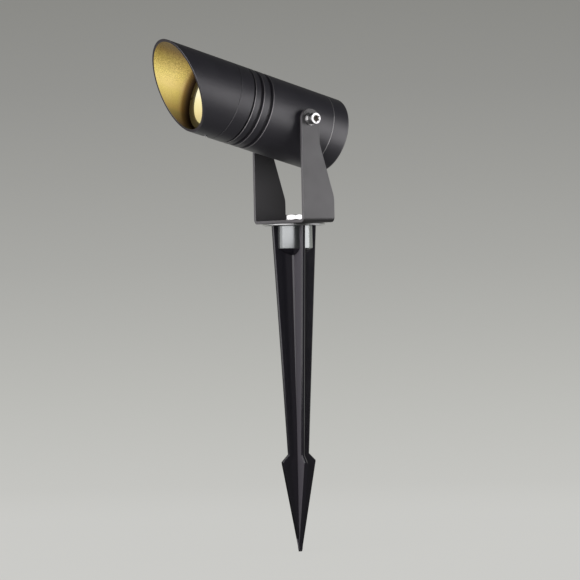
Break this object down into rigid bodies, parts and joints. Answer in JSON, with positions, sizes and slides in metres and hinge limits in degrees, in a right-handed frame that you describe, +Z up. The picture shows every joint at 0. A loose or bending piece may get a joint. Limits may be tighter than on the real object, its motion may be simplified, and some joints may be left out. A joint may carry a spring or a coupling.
{
  "type": "spike spotlight",
  "caption": "Round garden spotlight with a slant-cut cowl, tilting in a U bracket on a cruciform ground spike.",
  "frame": {"origin": "on the spike's axis at the ground line, at the underside of the flange", "axes": "+Z up along the spike, -Y towards the side the beam leaves at rest, +X along the tilt axis"},
  "size_m": [0.0856, 0.1622, 0.3964],
  "materials": {
    "black_coat": "fine black powder coat on aluminium",
    "bracket_coat": "fine black powder coat on steel sheet",
    "cowl_coat": "black powder coat outside, warm gold inside",
    "bezel_black": "black anodised, satin",
    "bright_steel": "polished stainless steel",
    "bush_metal": "polished, turned",
    "frosted_glass": "frosted tempered glass, lit from behind",
    "lit_lens": "clear moulded lens, lit warm",
    "black_rubber": "matt silicone rubber",
    "spacer_nylon": "black nylon",
    "spike_plastic": "satin black moulded plastic",
    "gland_plastic": "satin black moulded plastic",
    "holder_plastic": "matt black moulded plastic",
    "board_white": "white solder mask on aluminium",
    "board_green": "green solder mask",
    "phosphor": "yellow phosphor on a ceramic base",
    "core_black": "ferrite and black tape",
    "can_metal": "sleeved aluminium cans",
    "terminal_plastic": "green moulded plastic",
    "wire_red": "silicone-sleeved wire"
  },
  "bodies": {
    "spike": {"base_bolt": "bright_steel", "base_washer": "bright_steel", "spike_bush": "bush_metal", "spike": "spike_plastic"},
    "bracket": {"bracket": "bracket_coat"},
    "head": {"housing": "black_coat", "rear_cap": "black_coat", "rear_cap_o_ring": "black_rubber", "bezel_ring": "bezel_black", "front_glass": "frosted_glass", "glass_gasket": "black_rubber", "lens": "lit_lens", "lens_holder": "holder_plastic", "led_board": "board_white", "led_chip": "phosphor", "led_board_screws": "bright_steel", "led_leads": "wire_red", "driver_tray": "holder_plastic", "driver_board": "board_green", "driver_transformer": "core_black", "driver_capacitors": "can_metal", "driver_choke": "core_black", "driver_terminal": "terminal_plastic", "driver_chips": "holder_plastic", "gland_body": "gland_plastic", "gland_washer": "black_rubber", "gland_seal": "black_rubber", "gland_nut": "gland_plastic", "pivot_spacers": "spacer_nylon", "pivot_flat_washers": "bright_steel", "pivot_spring_washers": "bright_steel", "pivot_screws": "bright_steel"},
    "cowl": {"cowl": "cowl_coat", "cowl_set_screw": "bright_steel"}
  },
  "joints": [
    {"name": "bracket_pan", "type": "hinge", "parent": "spike", "child": "bracket", "pos_m": [0, 0, 0], "axis": [0, 0, 1], "continuous": true},
    {"name": "head_tilt", "type": "hinge", "parent": "bracket", "child": "head", "pos_m": [0, -0.0063, 0.081], "axis": [-1, 0, 0], "range_deg": [-64.6, 185.4]},
    {"name": "cowl_turn", "type": "hinge", "parent": "head", "child": "cowl", "pos_m": [0, -0.0063, 0.081], "axis": [0, -0.9677, 0.2521], "continuous": true}
  ]
}
